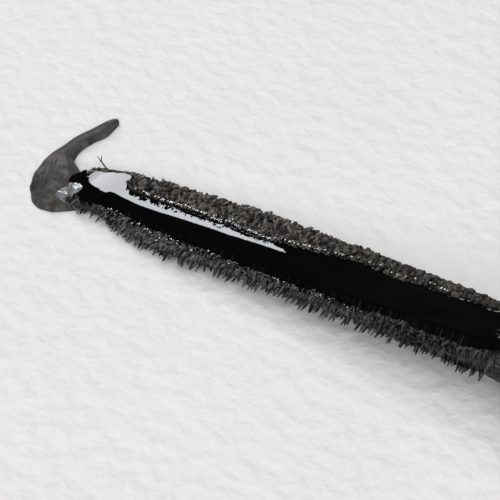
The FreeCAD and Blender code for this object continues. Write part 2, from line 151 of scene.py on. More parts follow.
def wet_ink(name, ior):
    """Ink standing on the hair: black right through, smooth, with the hairs just felt under it. Where
    the mesh's shade is 1 it has dried to a duller rim."""
    material, tree = new_material(name)
    hairs = noise_value(tree, millimetres(tree, (0.16, 1.6, 1.6)), 2.2, 2.0)
    film = noise_value(tree, millimetres(tree, (0.3, 1, 1)), 0.8, 2.0)
    rim = add(tree, "Attribute", attribute_name="shade").outputs["Fac"]
    sheen = ramp(tree, film, 0.3, 0.7, 0.05, 0.09)
    rough = add(tree, "Math", {0: rim, 1: 0.22, 2: sheen}, operation="MULTIPLY_ADD").outputs[0]
    finish_material(tree, {
        "Base Color": blend_colours(tree, film, (0.0004, 0.0005, 0.0004), (0.001, 0.001, 0.001)),
        "Roughness": rough,
        "Normal": bump(tree, hairs, 0.05, 0.012),
        "IOR": ior,
    })
    return material


def damp_hair(name, dark, light, rough, patches=2.6):
    """Hair soaked with drying ink. Each hair has its own shade, and over them lies a mottle with that
    many patches to the millimetre."""
    material, tree = new_material(name)
    shade = add(tree, "Attribute", attribute_name="shade").outputs["Fac"]
    mottle = noise_value(tree, millimetres(tree), patches, 4.0, 0.65)
    mixed = add(tree, "Math", {0: shade, 1: mottle}, operation="MULTIPLY").outputs[0]
    fine = noise_value(tree, millimetres(tree), 14, 3.0)
    finish_material(tree, {
        "Base Color": blend_colours(tree, ramp(tree, mixed, 0.08, 0.6, 0, 1), dark, light),
        "Roughness": ramp(tree, fine, 0.3, 0.7, rough - 0.08, rough + 0.1),
        "Normal": bump(tree, fine, 0.6, 0.02),
        "Specular IOR Level": 0.25,
    })
    return material


def soaked_skin():
    """Ink in a crumpled skin with a satin gloss, its light grey patches a painted sheen."""
    material, tree = new_material("soaked_skin")
    patches = noise_value(tree, millimetres(tree), 1.7, 4.0, 0.6)
    fine = noise_value(tree, millimetres(tree), 9, 3.0)
    # painted sheen: light grey patches stand in for the smear's glinting gloss
    painted_sheen_patches = ramp(tree, patches, 0.35, 0.65, 0, 1)
    finish_material(tree, {
        "Base Color": blend_colours(tree, painted_sheen_patches, (0.012, 0.012, 0.012), (0.33, 0.335, 0.35)),
        "Roughness": ramp(tree, patches, 0.35, 0.65, 0.16, 0.3),
        "Normal": bump(tree, fine, 0.3, 0.02),
        "IOR": 1.7,
    })
    return material


def paper():
    """Pale, slightly toothed drawing paper for the floor."""
    material, tree = new_material("paper_floor")
    tooth = noise_value(tree, millimetres(tree), 1.1, 4.0, 0.42)
    pulp = noise_value(tree, millimetres(tree), 0.12, 3.0)
    finish_material(tree, {
        "Base Color": blend_colours(tree, pulp, (0.83, 0.83, 0.825), (0.88, 0.88, 0.872)),
        "Roughness": ramp(tree, tooth, 0.3, 0.7, 0.85, 0.98),
        "Normal": bump(tree, tooth, 0.8, 0.25),
        "Specular IOR Level": 0.2,
    })
    return material


def clear_plastic(name):
    """Milky, half-clear moulded plastic stained by the ink inside."""
    material, tree = new_material(name)
    stain = noise_value(tree, millimetres(tree, (0.3, 1, 1)), 0.5, 4.0)
    finish_material(tree, {
        "Base Color": blend_colours(tree, stain, (0.35, 0.37, 0.38), (0.78, 0.8, 0.8)),
        "Roughness": ramp(tree, stain, 0.3, 0.7, 0.2, 0.35),
        "Transmission Weight": 0.6,
        "IOR": 1.5,
    })
    return material


RUBBER = ((0.012, 0.012, 0.012), (0.035, 0.035, 0.034), 0.1, (0.6, 0.85), 0.02)
CHROME = ((0.5, 0.5, 0.5), (0.62, 0.62, 0.62), 0.2, (0.06, 0.16), 0.002)
FINISHES = {  # slot: dark and light colour, grain, range of roughness, relief
    "black_satin": ((0.012, 0.012, 0.013), (0.028, 0.028, 0.028), 0.15, (0.3, 0.48), 0.01),
    "nozzle_black": ((0.010, 0.010, 0.010), (0.02, 0.02, 0.02), 0.2, (0.16, 0.3), 0.006),
    "grip_rubber": RUBBER,
    "seal_rubber": RUBBER,
    "steel_trim": ((0.42, 0.42, 0.41), (0.58, 0.58, 0.57), 0.12, (0.18, 0.34), 0.004),
    "clip_steel": CHROME,
    "ball_steel": CHROME,
    "ferrule_metal": ((0.42, 0.3, 0.14), (0.62, 0.5, 0.3), 0.15, (0.2, 0.4), 0.005),
    "liner_white": ((0.55, 0.55, 0.53), (0.72, 0.72, 0.7), 0.3, (0.35, 0.5), 0.01),
    "resin_amber": ((0.12, 0.06, 0.02), (0.3, 0.18, 0.07), 0.3, (0.2, 0.4), 0.01),
    "binding_thread": ((0.3, 0.27, 0.22), (0.5, 0.46, 0.38), 0.05, (0.6, 0.8), 0.02),
    "wick_fibre": ((0.05, 0.05, 0.05), (0.18, 0.18, 0.18), 0.06, (0.7, 0.9), 0.03),
    "feed_plastic": ((0.02, 0.02, 0.021), (0.05, 0.05, 0.05), 0.1, (0.45, 0.65), 0.01),
    "spike_plastic": ((0.4, 0.4, 0.39), (0.58, 0.58, 0.56), 0.2, (0.3, 0.45), 0.01),
    "stopper_plastic": ((0.5, 0.5, 0.48), (0.66, 0.66, 0.64), 0.2, (0.35, 0.5), 0.01),
    "ink": ((0.001, 0.001, 0.001), (0.004, 0.004, 0.005), 0.5, (0.03, 0.08), 0.002),
}
ROUND_BRUSHED = (3, 0.3, 0.3)  # a grain that runs round the pen
EXTRAS = {
    "nozzle_black": {"Coat_Weight": 0.3},
    "grip_rubber": {"Sheen_Weight": 0.2},
    "steel_trim": {"stretch": ROUND_BRUSHED, "Metallic": 1.0, "Anisotropic": 0.4},
    "clip_steel": {"stretch": (0.2, 2, 2), "Metallic": 1.0},
    "ball_steel": {"Metallic": 1.0},
    "ferrule_metal": {"stretch": ROUND_BRUSHED, "Metallic": 1.0},
    "binding_thread": {"Sheen_Weight": 0.3},
    "wick_fibre": {"stretch": (0.2, 1, 1)},
}


def part_materials():
    """The finish of each of the record's material slots, by slot name."""
    finishes = {
        slot: surface(slot, *values, **EXTRAS.get(slot, {}))
        for slot, values in FINISHES.items()
    }
    finishes["black_lacquer"] = lacquer("black_lacquer")
    finishes["cartridge_clear"] = clear_plastic("cartridge_clear")
    finishes["tuft_hair"] = damp_hair("tuft_hair", (0.006, 0.0055, 0.005), (0.05, 0.046, 0.042), 0.6)
    return finishes


# ---------------------------------------------------------------- mesh helpers

def curve(knots, position):
    """A smooth curve through (position, value) knots, read at a position. It doesn't overshoot."""
    x, y = np.array(knots, float).T
    slopes = np.diff(y) / np.diff(x)
    tangents = np.zeros(len(x))
    same = slopes[:-1] * slopes[1:] > 0
    tangents[1:-1][same] = 2 / (1 / slopes[:-1][same] + 1 / slopes[1:][same])
    tangents[0], tangents[-1] = slopes[0], slopes[-1]
    at = np.clip(position, x[0], x[-1])
    i = np.clip(np.searchsorted(x, at) - 1, 0, len(x) - 2)
    span = x[i + 1] - x[i]
    t = (at - x[i]) / span
    return float(
        y[i] * (2 * t**3 - 3 * t**2 + 1) + y[i + 1] * (3 * t**2 - 2 * t**3)
        + tangents[i] * span * (t**3 - 2 * t**2 + t) + tangents[i + 1] * span * (t**3 - t**2)
    )


def place(points):
    """Tuft millimetres (forward, across, up) to frame metres."""
    points = np.asarray(points, float)
    return np.column_stack([MOUTH.x - points[:, 0] * MM, points[:, 1] * MM, points[:, 2] * MM])


def mesh_object(name, vertices, faces, material, shade=None):
    """A smooth-shaded mesh of points in frame metres, with an optional shade for each point."""
    mesh = bpy.data.meshes.new(name)
    mesh.from_pydata([tuple(v) for v in vertices], [], faces)
    mesh.shade_smooth()
    if shade is not None:
        layer = mesh.attributes.new("shade", "FLOAT", "POINT")
        layer.data.foreach_set("value", np.asarray(shade, np.float32))
    mesh.materials.append(material)
    mesh.validate()
    piece = bpy.data.objects.new(name, mesh)
    bpy.context.scene.collection.objects.link(piece)
    return piece


def loft(rings):
    """Vertices and faces of a closed skin over rings of equal count, with one face over each end."""
    count = len(rings[0])
    vertices = np.concatenate(rings)
    faces = []
    for k in range(len(rings) - 1):
        a, b = k * count, (k + 1) * count
        faces += [(a + i, a + (i + 1) % count, b + (i + 1) % count, b + i) for i in range(count)]
    last = (len(rings) - 1) * count
    faces.append(tuple(reversed(range(count))))
    faces.append(tuple(range(last, last + count)))
    return vertices, faces


NEARLY_UP = (0.13, 0.21, 0.97)  # a direction that no hair runs along


def hairs(name, strands, material, sides=5):
    """One mesh of tapered hairs. A strand is (points in tuft millimetres, radii, shade)."""
    vertices, faces, shades = [], [], []
    turn = np.linspace(0, 2 * math.pi, sides, endpoint=False)
    for points, radii, shade in strands:
        points = np.asarray(points, float)
        way = np.gradient(points, axis=0)
        way /= np.linalg.norm(way, axis=1)[:, None] + 1e-12
        side = np.cross(way, NEARLY_UP)
        side /= np.linalg.norm(side, axis=1)[:, None] + 1e-12
        rise = np.cross(side, way)
        start = len(vertices)
        for p, r, s, u in zip(points, radii, side, rise):
            vertices += [p + r * (math.cos(a) * s + math.sin(a) * u) for a in turn]
        for k in range(len(points) - 1):
            a, b = start + k * sides, start + (k + 1) * sides
            faces += [(a + i, b + i, b + (i + 1) % sides, a + (i + 1) % sides) for i in range(sides)]
        last = start + (len(points) - 1) * sides
        faces.append(tuple(range(start, start + sides)))
        faces.append(tuple(range(last + sides - 1, last - 1, -1)))
        shades += [shade] * (len(points) * sides)
    return mesh_object(name, place(vertices), faces, material, shades)


# ---------------------------------------------------------------- the tuft's form

# (forward, value) knots, read by curve(). CENTRE is where the middle line lies across, and HEIGHT is
# the line from which the hair rises and drops. The half widths and slopes are measured from the middle
# line, and the rims from the ink's edges inwards, far being +Y and near -Y.
CENTRE = (
    (0.4, 0), (3.4, 0), (4.5, 0.12), (6.6, 0.25), (8.8, 0.32), (11, 0.42), (13.2, 0.38), (15.5, 0.36),
    (17.8, 0.28), (20.1, 0.06), (22.4, -0.13), (27.6, -0.3),
)
HEIGHT = (
    (0.4, 3.68), (3.2, 3.46), (6, 3.02), (10, 2.36), (15, 1.66), (20, 1.08), (24, 0.74), (26.6, 0.6),
    (27.6, 0.42),
)
HAIR_RISE = (
    (0.4, 1.68), (1.4, 1.68), (2.4, 1.32), (3.4, 1.02), (6, 0.78), (10, 0.52), (14, 0.30), (17, 0.20),
    (20, 0.19), (23.6, 0.16), (24.6, 0.05), (26.4, 0.05), (27.6, 0.1),
)
HAIR_DROP = (
    (0.4, 1.68), (1.4, 1.68), (3.6, 0.82), (6, 0.68), (10, 0.64), (15, 0.7), (20, 0.82), (24, 0.68),
    (27.6, 0.5),
)
HAIR_FAR = (
    (0.4, 1.68), (1.5, 1.70), (3, 1.72), (4.5, 1.74), (6.5, 1.78), (7.9, 1.9), (10, 1.98), (12.4, 2.1),
    (14.6, 2.16), (17, 2.3), (20.5, 2.32), (22.9, 2.3), (24.1, 2.1), (25.2, 1.85), (25.8, 1.64),
    (26.4, 1.42), (27.4, 1.1),
)
HAIR_NEAR = (
    (0.4, 1.68), (1.5, 1.70), (3, 1.82), (4.3, 1.88), (6.4, 1.92), (10.6, 2.02), (14, 2.0),
    (16.4, 1.92), (18.5, 2.02), (20.8, 1.9), (22, 1.72), (23, 1.48), (24, 1.38), (24.8, 1.15),
    (25.4, 1.1), (26.4, 1.3), (27.4, 1.3),
)
INK_FAR = (
    (1.6, 0.6), (2.6, 0.75), (3.7, 0.6), (4.9, 0.66), (6.1, 0.58), (7.4, 0.72), (8.6, 0.62), (10, 0.72),
    (11.3, 0.78), (12.4, 0.66), (13.1, 0.62), (13.9, 0.55), (14.6, 0.48), (15.3, 0.46), (15.85, 0.24),
    (16.3, 0.28), (17.1, 0.31), (17.7, 0.36), (18.3, 0.46), (18.75, 0.34), (19.3, 0.48), (20, 0.6),
    (21, 0.62), (21.7, 0.58), (22.4, 0.58), (23.3, 0.6), (24.1, 0.62), (24.35, 0.85), (24.6, 1.5),
    (24.9, 1.84), (25.3, 1.74), (25.7, 1.55), (26.1, 1.3), (26.6, 1.0), (27.1, 0.6), (27.5, 0.15),
)
INK_NEAR = (
    (1.6, 0.6), (2.6, 1.75), (4, 1.98), (5.8, 2.0), (7.2, 1.92), (9.8, 1.88), (11.8, 1.88),
    (13.5, 1.82), (15.1, 1.78), (16.8, 1.68), (18.6, 1.52), (20.7, 1.36), (22, 1.26), (23.35, 1.08),
    (24.2, 1.06), (25, 1.27), (25.8, 1.35), (26.4, 1.15), (27, 0.8), (27.5, 0.15),
)
INK_RISE = (
    (1.6, 1.70), (2.6, 1.38), (4, 1.18), (6, 1.0), (8, 0.85), (10, 0.74), (13, 0.62), (16, 0.54),
    (20, 0.52), (25, 0.52), (27.5, 0.36),
)
FAR_RIM = ((1.6, 0.14), (13, 0.1), (23.8, 0.08), (24.6, 0.05), (27.5, 0.05))
NEAR_RIM = ((1.6, 0.5), (6, 0.5), (12, 0.3), (27.5, 0.22))
# The ink lies flat, but slopes between these two lines across it, where it mirrors the window lamp.
SLOPE_NEAR = (
    (13.6, -0.18), (14.1, -0.21), (15, -0.26), (15.9, -0.28), (16.7, -0.32), (17.7, -0.34),
    (18.9, -0.28), (20, -0.24), (21.1, -0.25), (22.7, -0.27), (23.7, -0.2), (24.3, -0.12),
    (24.65, -0.1), (24.9, -0.35), (25.5, -0.22), (26, -0.09), (26.5, 0.3), (26.9, 0.8), (27.5, 1.4),
)
SLOPE_FAR = (
    (13.6, -0.18), (14.1, -0.19), (14.6, -0.13), (15.2, 0.0), (15.7, 0.13), (15.95, 0.6), (16.15, 0.12),
    (16.4, 0.03), (16.9, 0.0), (17.4, 0.05), (18.1, 0.2), (18.3, 0.6), (18.75, 0.6), (18.9, 0.22),
    (19.8, 0.27), (20.8, 0.32), (21.2, 0.8), (24, 1.2), (24.5, 2), (27.5, 2.2),
)
SLOPE, SLOPE_START, RIM_TILT = 0.21, 14, 1.3
HAIR_SPAN, INK_SPAN, RING_STEP = (0.4, 27.4), (1.6, 27.44), 0.055
MAT_POINTS, INK_POINTS, HOOK_POINTS = 104, 72, 40  # round the hair, across the ink, round the hook
FRINGE_HAIRS, HOOK_HAIRS, MOUTH_HAIRS = 1900, 260, 70
DRAGGED_CLUMPS, CLUMP_HAIRS = 230, 4
EDGE_FILMS = {1: 700, -1: 900}  # by side
LUMPS_END, LOCKS_END = 24.4, 24.5  # past these the far hair is laid low, clear of the ink's slope
PAPER_GAP = 0.06  # the least height over the table


def ripple(forward, scale, seed):
    """Smooth noise from -1 to 1 along the tuft."""
    return noise.noise(Vector((forward * scale, seed, 0.37 * seed)))


def hair_half_width(forward, side):
    """The hair's half width on one side, with its ragged outline."""
    ragged = 0.6 * ripple(forward, 1.3, 12 * side) + 1.1 * ripple(forward, 4.5, 3 * side)
    width = curve(HAIR_FAR if side > 0 else HAIR_NEAR, forward)
    return width + 0.1 * ragged * min(1, max(0, (forward - 2) / 2))


def ink_half_width(forward, side):
    """The ink's half width on one side, with the small teeth where it runs out between the hairs."""
    teeth = 0.5 * ripple(forward, 3.7, 3.1 * side) + 0.6 * ripple(forward, 9.5, 7.7 * side)
    width = curve(INK_FAR if side > 0 else INK_NEAR, forward)
    return max(width + 0.11 * teeth * min(1, width), 0.02)


def squareness(forward):
    """The power of the section's outline: round in the ferrule, boxier where the hair is flattened."""
    return 2 + 1.2 * min(1, max(0, (forward - 1.6) / 4))


def hair_top(forward, across):
    """Height of the hair's upper side at a distance from the tuft's middle line."""
    side = 1 if across > 0 else -1
    share = min(abs(across) / hair_half_width(forward, side), 1)
    power = squareness(forward)
    rise = curve(HAIR_RISE, forward) * (1 - share**power) ** (1 / power)
    return curve(HEIGHT, forward) + rise


def hair_mat(material):
    """The soaked hair: round in the ferrule, flattened on its way down to the paper, and granular, with painted
    shade: each lump's top is painted lighter and the hollows between lumps darker.
    """
    rings, shades = [], []
    for forward in np.arange(*HAIR_SPAN, RING_STEP):
        centre, height = curve(CENTRE, forward), curve(HEIGHT, forward)
        rise, drop = curve(HAIR_RISE, forward), curve(HAIR_DROP, forward)
        half = {side: hair_half_width(forward, side) for side in (-1, 1)}
        sharp = 2 / squareness(forward)
        grain_size = min(1, max(0, (forward - 1.8) / 1.5))
        ring = []
        for k in range(MAT_POINTS):
            angle = 2 * math.pi * k / MAT_POINTS
            c, s = math.cos(angle), math.sin(angle)
            across = half[1 if c > 0 else -1] * math.copysign(abs(c) ** sharp, c)
            up = (rise if s > 0 else drop) * math.copysign(abs(s) ** sharp, s)
            distances, _ = noise.voronoi(Vector((forward * 6.5, across * 5, up * 5)))
            lump = 0.09 * (0.6 - distances[0])
            lump += 0.035 * noise.noise(Vector((forward * 9, across * 9, up * 9)))
            lump *= 0.4 if forward > LUMPS_END and s > 0 else 1
            across += grain_size * lump * c
            ring.append((forward, centre + across, max(height + up + grain_size * lump * s, PAPER_GAP)))
            # painted shade: a lump's top gets a lighter shade, the hollow between lumps a darker one
            shades.append(min(1, max(0, 0.75 - 0.7 * distances[0])))
        rings.append(np.array(ring))
    vertices, faces = loft(rings)
    return mesh_object("tuft_hair_mat", place(vertices), faces, material, shades)


def ink_skin(material):
    """The bead of wet ink that stands along the tuft. Its top is added up from the tilt at each point,
    and each line across it is then levelled at the middle line."""
    rings, rims = [], []
    for forward in np.arange(INK_SPAN[0], INK_SPAN[1] + 0.001, RING_STEP):
        far, near = ink_half_width(forward, 1), ink_half_width(forward, -1)
        across = np.linspace(far, -near, INK_POINTS)
        low = curve(SLOPE_NEAR, forward) + 0.03 * ripple(forward, 1.1, 4.4)
        high = curve(SLOPE_FAR, forward) + 0.09 * ripple(forward, 3.3, 8.8)
        tilt = np.where((across > low) & (across < high) & (forward > SLOPE_START), SLOPE, 0.0)
        far_rim = across > far - curve(FAR_RIM, forward)
        near_rim = across < -near + curve(NEAR_RIM, forward)
        tilt[far_rim], tilt[near_rim] = RIM_TILT, -RIM_TILT
        tilt = np.convolve(np.pad(tilt, 1, mode="edge"), np.ones(3) / 3, mode="valid")
        surface_line = np.cumsum(tilt) * ((far + near) / (INK_POINTS - 1))
        surface_line -= np.interp(0, across[::-1], surface_line[::-1])
        centre, height = curve(CENTRE, forward), curve(HEIGHT, forward)
        rise = curve(INK_RISE, forward)
        top = height + rise + surface_line
        deep = 0.05 + 0.3 * min(1, max(0, (12 - forward) / 6))
        points = [(forward, centre + a, max(t, height - deep)) for a, t in zip(across, top)]
        points += [(forward, centre + a, height - deep - 0.05) for a in across[::-1]]
        rings.append(np.array(points))
        rim = np.convolve(np.pad(far_rim | near_rim, 1, mode="edge"), np.ones(3), mode="valid") > 0
        rims += list(rim.astype(float)) + [1.0] * INK_POINTS
    vertices, faces = loft(rings)
    return mesh_object("tuft_ink", place(vertices), faces, material, rims)


def ink_top(forward, across):
    """Height of the ink at a distance from the middle line, without its slope and its far rim. It is 0
    outside the ink."""
    inside = ink_half_width(forward, -1) + across
    if forward > INK_SPAN[1] or inside < 0 or across > ink_half_width(forward, 1):
        return 0
    rim = max(0, curve(NEAR_RIM, forward) - inside)
    return curve(HEIGHT, forward) + curve(INK_RISE, forward) - RIM_TILT * rim


def bank(forward, across):
    """Height of the hair beside the ink: it climbs from the mat to just over the ink's rim, which falls
    away on the near side."""
    side = 1 if across > 0 else -1
    reach = abs(across) - ink_half_width(forward, side)
    fall = -0.02 if side > 0 else 0.8 * RIM_TILT * curve(NEAR_RIM, forward)
    crown = curve(HEIGHT, forward) + curve(INK_RISE, forward) - fall
    mat = hair_top(forward, across)
    climb = max(0, 1 - max(reach, 0) / 0.4)
    return mat + max(crown - mat, 0) * climb * climb


def wetness(forward):
    """How much of its shade a hair keeps: towards the nozzle the hair is wetter and darker."""
    return 0.55 + 0.45 * min(1, forward / 17)


def fringe_hair(side, material):
    """Short locks that lie outwards across the tuft beside the ink: pointed on the near side, where they
    were dragged, and blunt and curled on the far side."""
    pointed = side < 0
    strands = []
    for _ in range(FRINGE_HAIRS):
        forward = RNG.uniform(2.2, 26.9 if side > 0 else 26.1)
        inner, outer = ink_half_width(forward, side), hair_half_width(forward, side)
        if outer - inner < 0.1:
            inner = outer - 0.3
        base = RNG.uniform(inner - (0.2 if side > 0 and forward < 14 else 0.12), outer - 0.05)
        length = RNG.uniform(0.16, 0.40) if pointed else RNG.uniform(0.14, 0.34)
        if not pointed and forward > LOCKS_END:
            base, length = outer - RNG.uniform(0, 0.1), 0.4 * length
        lean = RNG.gauss(0.06, 0.13) if pointed else RNG.uniform(-0.28, 0.28)
        lift = RNG.uniform(0.02, 0.14)
        curl = RNG.uniform(-0.05, 0.05)
        thick = RNG.uniform(0.032, 0.062) if pointed else RNG.uniform(0.045, 0.085)
        points = []
        for t in np.linspace(0, 1, 5):
            along = forward + lean * t + curl * math.sin(math.pi * t)
            across = side * (base + length * t)
            past = max(0, base + length * t - outer)
            at_tip = along > LOCKS_END and not pointed
            bed = hair_top(along, across) if at_tip else bank(along, across)
            up = bed + lift * math.sin(0.5 * math.pi * t) - 0.5 * past
            points.append((along, curve(CENTRE, along) + across, max(up, PAPER_GAP)))
        swell = (0.8, 1.0, 0.95, 0.62, 0.15) if pointed else (0.7, 1.0, 1.12, 1.0, 0.45)
        strands.append((points, [thick * s for s in swell], RNG.random() * wetness(forward)))
    name = "tuft_fringe_near" if pointed else "tuft_fringe_far"
    return hairs(name, strands, material)


def dragged_locks(material):
    """Locks on the near side whose points stick out of the tuft's outline as teeth."""
    strands = []
    for _ in range(DRAGGED_CLUMPS):
        root = RNG.uniform(2.6, 26)
        length, lean = RNG.uniform(0.08, 0.42), RNG.gauss(0.0, 0.1)
        spread = RNG.uniform(0.05, 0.11)
        outer = hair_half_width(root, -1)
        drop = curve(HAIR_DROP, root)
        for _ in range(CLUMP_HAIRS):
            aside, reach = RNG.uniform(-1, 1), length * RNG.uniform(0.75, 1.1)
            points = []
            for t in np.linspace(0, 1, 5):
                forward = root + aside * spread * (1 - 0.75 * t) + lean * t
                across = -(outer - 0.22 + (reach + 0.22) * t)
                up = curve(HEIGHT, forward) - 0.5 * drop * min(1, 0.35 + t) - 0.25 * reach * t * t
                points.append((forward, curve(CENTRE, forward) + across, max(up, PAPER_GAP)))
            thick = RNG.uniform(0.035, 0.06)
            radii = [thick * k for k in (0.9, 1, 1, 0.8, 0.35)]
            strands.append((points, radii, RNG.random() * wetness(root)))
    return hairs("tuft_dragged_locks", strands, material)


SLIVER = ((-1, 0), (-0.5, 1), (0.5, 0.8), (1, 0), (0.5, -1), (-0.4, -0.9))  # corners, along and aside
SLIVER_DEPTH = 0.05


def film(centre, length, width, way, slope_across, slope_forward):
    """A sliver of ink stretched between hairs: the corners of its tilted top, in tuft millimetres."""
    forward, across, up = centre
    corners = []
    for along, aside in SLIVER:
        x = 0.5 * length * along * RNG.uniform(0.8, 1.1)
        y = 0.5 * width * aside * RNG.uniform(0.8, 1.1)
        f, a = x * math.cos(way) - y * math.sin(way), x * math.sin(way) + y * math.cos(way)
        corners.append((forward + f, across + a, up - slope_across * a - slope_forward * f))
    return corners


def slivers(name, films, material):
    """One mesh of thin flat-topped slivers, each closed SLIVER_DEPTH under its top."""
    vertices, faces = [], []
    for corners in films:
        start, count = len(vertices), len(corners)
        vertices += corners + [(f, a, up - SLIVER_DEPTH) for f, a, up in corners]
        faces.append(tuple(range(start + count - 1, start - 1, -1)))
        faces.append(tuple(range(start + count, start + 2 * count)))
        for i in range(count):
            j = (i + 1) % count
            faces.append((start + i, start + j, start + count + j, start + count + i))
    piece = mesh_object(name, place(vertices), faces, material)
    piece.data.shade_flat()
    return piece


def wet_edges(material):
    """Ink that clings between the hairs along both of its edges and glints there."""
    films = []
    for side, count in EDGE_FILMS.items():
        for _ in range(count):
            forward = RNG.uniform(6, 23.8) if side > 0 else RNG.uniform(4, 24.8)
            off = abs(RNG.gauss(0, 0.2 if 14 < forward < 21.5 else 0.14)) - 0.02
            across = side * (ink_half_width(forward, side) + off)
            up = bank(forward, across) + RNG.uniform(0.09, 0.17)
            way = math.pi / 2 + RNG.gauss(0, 0.35)
            sizes = RNG.uniform(0.07, 0.24), RNG.uniform(0.025, 0.06)
            tilts = RNG.gauss(SLOPE, 0.09), RNG.gauss(0, 0.06)
            spot = (forward, curve(CENTRE, forward) + across, up)
            films.append(film(spot, *sizes, way, *tilts))
    return slivers("tuft_edge_films", films, material)


HOOK = (  # across, forward, half width, top
    (-2.42, 27.85, 0.08, 0.2), (-2.25, 27.75, 0.65, 0.34), (-1.9, 27.7, 1.05, 0.46),
    (-1.4, 27.68, 1.52, 0.56), (-0.6, 27.83, 1.74, 0.62), (0.2, 28.2, 1.52, 0.62),
    (0.8, 28.68, 1.06, 0.58), (1.3, 29.05, 0.6, 0.52), (2.2, 29.08, 0.44, 0.44),
    (3.0, 28.93, 0.44, 0.4), (3.75, 28.66, 0.46, 0.38), (4.45, 28.55, 0.36, 0.36),
    (4.9, 28.46, 0.24, 0.32), (5.1, 28.42, 0.1, 0.24),
)
PAINTED_SHEEN_SPOTS = (  # forward, across, radius, strength: spots of painted sheen, where the hook is painted paler
    (29.0, 0.75, 0.5, 0.9), (28.5, 0.34, 0.22, 0.7), (27.9, 0.0, 0.26, 0.8), (28.95, -0.2, 0.32, 0.6),
    (28.75, -0.87, 0.24, 0.5), (28.8, 3.7, 0.4, 0.8), (29.0, 1.5, 0.3, 0.6),
)


def painted_sheen(forward, across):
    """How much paler than its surroundings the hook is painted at a point, as painted sheen."""
    return sum(
        strength * math.exp(-((forward - f) ** 2 + (across - a) ** 2) / radius**2)
        for f, a, radius, strength in PAINTED_SHEEN_SPOTS
    )


def hook_reading(across):
    """The forward place of the hook's middle, its half width and its height, at a place across."""
    columns = np.array(HOOK)
    return [curve(columns[:, (0, k)], across) for k in (1, 2, 3)]


def hook_top(across, share):
    """A point on the hook's upper side, share running from -1 to 1 over its width."""
    middle, half, top = hook_reading(across)
    return middle + half * share, across, PAPER_GAP + top * max(1 - abs(share) ** 3, 0) ** 0.6


def hook(material):
    """The tip that turns aside: a rounded corner that narrows to a blunt, flat lock."""
    rings, shades = [], []
    for across in np.arange(HOOK[0][0], HOOK[-1][0] + 0.001, 0.05):
        middle, half, top = hook_reading(across)
        ring = []
        for k in range(HOOK_POINTS):
            angle = 2 * math.pi * k / HOOK_POINTS
            c, s = math.cos(angle), math.sin(angle)
            streak = 1 + 0.05 * noise.noise(Vector((5 * c, across * 0.5, 5 * s)))
            forward = middle + half * (1 + 0.02 * noise.noise(Vector((c, across * 3, s)))) * c
            up = PAPER_GAP + (top * max(s, 0) ** 0.8 * streak if s > 0 else 0)
            ring.append((forward, across, up))
            mottle = noise.noise(Vector((forward * 1.7, across * 1.7, 3.3)))
            stem = min(1, max(0, (across - 0.5) / 2))
            fleck = noise.noise(Vector((forward * 6, across * 5, 9.1)))
            # painted sheen: paler spots painted on the hook's bend and stem
            shades.append(0.4 + 0.1 * stem + 0.5 * mottle + 0.35 * fleck + painted_sheen(forward, across))
        rings.append(np.array(ring))
    vertices, faces = loft(rings)
    return mesh_object("tuft_hook", place(vertices), faces, material, shades)


def hook_locks(material):
    """Fine hairs combed along the hook, most of their thickness sunk in it."""
    strands = []
    for _ in range(HOOK_HAIRS):
        start, share = RNG.uniform(-2.3, 3.4), RNG.uniform(-0.9, 0.9)
        end = min(start + RNG.uniform(0.8, 2.4), 5.0)
        drift = RNG.uniform(-0.15, 0.15)
        points = []
        for t in np.linspace(0, 1, 7):
            f, a, up = hook_top(start + (end - start) * t, max(-0.9, min(0.9, share + drift * t)))
            points.append((f, a, up - 0.009))
        thick = RNG.uniform(0.009, 0.018)
        radii = [thick * k for k in (0.3, 0.9, 1, 1, 1, 0.8, 0.2)]
        strands.append((points, radii, 0.35 + 0.4 * RNG.random()))
    return hairs("tuft_hook_locks", strands, material)


SMEAR_POINTS = 46  # along each side of its grid
SMEAR_LEVEL = -1.13  # the place across where its slope neither lifts nor lowers it


def smear(material):
    """A crumpled skin of ink, painted with a grey sheen, where the tuft turns into the hook. It lies on whatever
    is highest there, sinks in at its outline, and is closed down to the paper."""
    count = SMEAR_POINTS
    vertices, faces = [], []
    for i in range(count):
        for j in range(count):
            u, v = 2 * i / (count - 1) - 1, 2 * j / (count - 1) - 1
            forward = 26.8 + 0.74 * u - 0.1 * v
            across = -1.05 + 0.6 * v - 0.12 * u
            middle, half, _ = hook_reading(across)
            share = max(-0.95, min(0.95, (forward - middle) / half))
            offset = across - curve(CENTRE, forward)
            base = max(hook_top(across, share)[2], hair_top(forward, offset), ink_top(forward, offset))
            inside = 1 - min(1, u * u + v * v + 0.35 * noise.noise(Vector((3 * u, 3 * v, 2.5))))
            crumple = 0.05 * noise.noise(Vector((forward * 2.6, across * 2.6, 1.7)))
            crumple += 0.022 * noise.noise(Vector((forward * 7, across * 7, 5.1)))
            lift = (0.17 + crumple - SLOPE * (across - SMEAR_LEVEL)) * min(1, 2.2 * inside) - 0.04
            vertices.append((forward, across, base + lift))
    skin = len(vertices)
    vertices += [(f, a, PAPER_GAP) for f, a, _ in vertices]
    for i in range(count - 1):
        for j in range(count - 1):
            k = i * count + j
            top = (k, k + 1, k + count + 1, k + count)
            faces += [top, tuple(n + skin for n in reversed(top))]
    border = [*range(count)]
    border += [k * count + count - 1 for k in range(1, count)]
    border += [(count - 1) * count + k for k in range(count - 2, -1, -1)]
    border += [k * count for k in range(count - 2, 0, -1)]
    for a, b in zip(border, border[1:] + border[:1]):
        faces.append((b, a, a + skin, b + skin))
    return mesh_object("tuft_smear", place(vertices), faces, material)


MOUTH_HAIRS_RADIUS = 1.62


